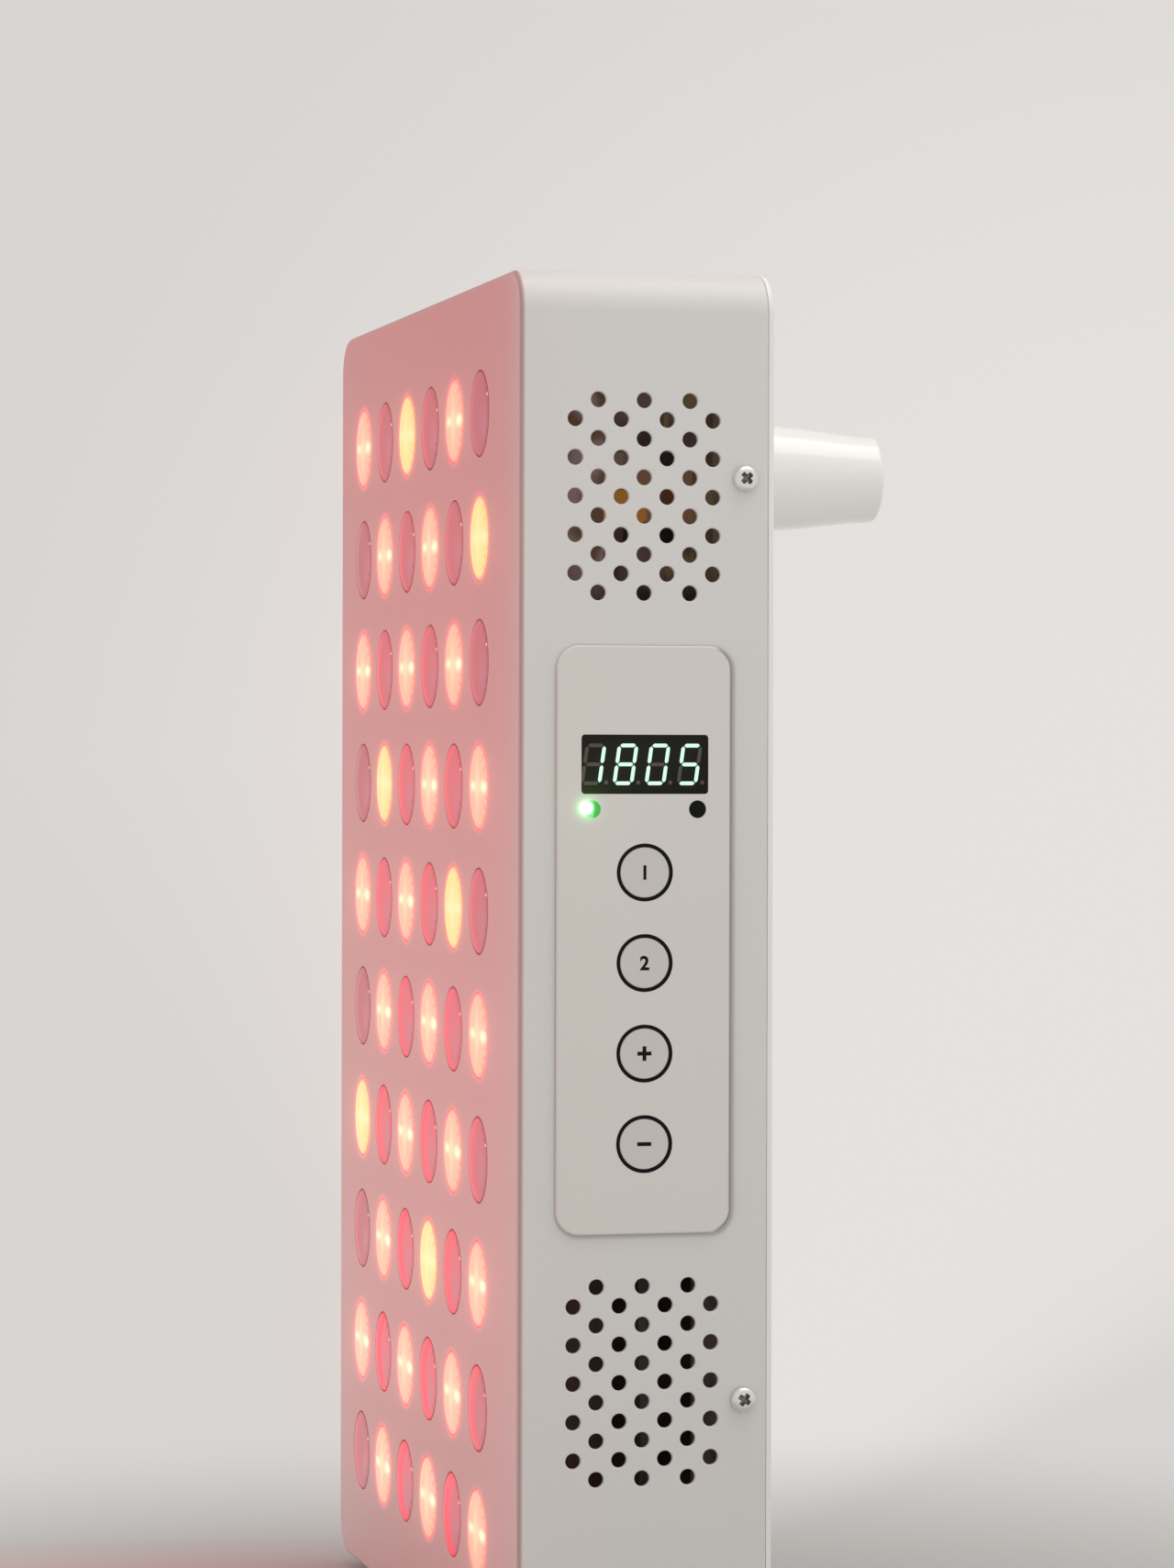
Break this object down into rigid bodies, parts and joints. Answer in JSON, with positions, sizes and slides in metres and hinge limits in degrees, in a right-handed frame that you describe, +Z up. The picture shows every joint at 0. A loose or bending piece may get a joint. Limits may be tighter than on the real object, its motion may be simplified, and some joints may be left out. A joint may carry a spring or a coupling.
{
  "type": "red light therapy panel",
  "caption": "Free-standing light therapy panel: folded steel case with a grid of LEDs on its face, a key and display panel on its side, rear posts and two fans.",
  "frame": {"origin": "under the middle of the whole object, at the bottom of the rubber feet", "axes": "+Z up, the lit face looks along -Y, the control side is +X"},
  "size_m": [0.2194, 0.0952, 0.336],
  "materials": {
    "powder_white": "satin powder coat",
    "post_gloss": "gloss",
    "foot_rubber": "matte",
    "screw_steel": "bright zinc",
    "clear_lens": "clear polycarbonate lit red",
    "led_board": "white solder mask",
    "plain_aluminium": "as extruded",
    "overlay_white": "satin gloss",
    "dark_pane": "smoked pane",
    "display_black": "matte",
    "indicator_green": "lit green",
    "indicator_black": "unlit",
    "circuit_green": "solder mask",
    "black_plastic": "fine texture",
    "bright_wire": "plated",
    "pin_brass": "nickel tinted",
    "terminal_cream": "matte",
    "amber_tape": "polyester tape",
    "capacitor_black": "sleeve",
    "grey_jacket": "cable jacket"
  },
  "bodies": {
    "case": {"front_case": "powder_white", "back_cover": "powder_white", "rubber_foot_1": "foot_rubber", "rubber_foot_2": "foot_rubber", "rubber_foot_3": "foot_rubber", "rubber_foot_4": "foot_rubber", "rear_post_1": "post_gloss", "rear_post_2": "post_gloss", "post_screw_1": "screw_steel", "post_screw_2": "screw_steel", "cover_screw_1": "screw_steel", "cover_screw_2": "screw_steel", "cover_screw_3": "screw_steel", "cover_screw_4": "screw_steel", "lens_array": "clear_lens", "led_board": "led_board", "heatsink": "plain_aluminium", "control_overlay": "overlay_white", "display_window": "dark_pane", "display_module": "display_black", "control_board": "circuit_green", "indicator_lit": "indicator_green", "indicator_dark": "indicator_black", "fan_frame_upper": "black_plastic", "fan_frame_lower": "black_plastic", "fan_guard_upper": "bright_wire", "fan_guard_lower": "bright_wire", "fan_screw_upper_1": "screw_steel", "fan_screw_upper_2": "screw_steel", "fan_screw_upper_3": "screw_steel", "fan_screw_upper_4": "screw_steel", "fan_screw_lower_1": "screw_steel", "fan_screw_lower_2": "screw_steel", "fan_screw_lower_3": "screw_steel", "fan_screw_lower_4": "screw_steel", "power_inlet": "black_plastic", "inlet_pin_live": "pin_brass", "inlet_pin_neutral": "pin_brass", "inlet_pin_earth": "pin_brass", "inlet_screw_1": "screw_steel", "inlet_screw_2": "screw_steel", "switch_frame": "black_plastic", "terminal_block": "terminal_cream", "driver_board_1": "circuit_green", "driver_board_2": "circuit_green", "transformer_1": "amber_tape", "transformer_2": "amber_tape", "capacitor_1": "capacitor_black", "capacitor_2": "capacitor_black", "mains_harness": "grey_jacket", "control_harness": "grey_jacket", "led_harness": "grey_jacket", "fan_harness": "black_plastic"},
    "key_1": {"key_1": "overlay_white"},
    "key_2": {"key_2": "overlay_white"},
    "key_3": {"key_3": "overlay_white"},
    "key_4": {"key_4": "overlay_white"},
    "fan_rotor_upper": {"fan_rotor_upper": "black_plastic"},
    "fan_rotor_lower": {"fan_rotor_lower": "black_plastic"},
    "rocker": {"switch_rocker": "black_plastic"}
  },
  "joints": [
    {"name": "key_1_press", "type": "slide", "parent": "case", "child": "key_1", "axis": [-1, 0, 0], "range_m": [0, 0.0004], "stiffness_N_per_m": 2500},
    {"name": "key_2_press", "type": "slide", "parent": "case", "child": "key_2", "axis": [-1, 0, 0], "range_m": [0, 0.0004], "stiffness_N_per_m": 2500},
    {"name": "key_3_press", "type": "slide", "parent": "case", "child": "key_3", "axis": [-1, 0, 0], "range_m": [0, 0.0004], "stiffness_N_per_m": 2500},
    {"name": "key_4_press", "type": "slide", "parent": "case", "child": "key_4", "axis": [-1, 0, 0], "range_m": [0, 0.0004], "stiffness_N_per_m": 2500},
    {"name": "fan_upper_spin", "type": "hinge", "parent": "case", "child": "fan_rotor_upper", "pos_m": [0, 0.00035, 0.2828], "axis": [0, 1, 0], "continuous": true},
    {"name": "fan_lower_spin", "type": "hinge", "parent": "case", "child": "fan_rotor_lower", "pos_m": [0, 0.00035, 0.0752], "axis": [0, 1, 0], "continuous": true},
    {"name": "power_switch", "type": "hinge", "parent": "case", "child": "rocker", "pos_m": [0.03, 0.01565, 0.02], "axis": [-1, 0, 0], "range_deg": [0, 20]}
  ]
}
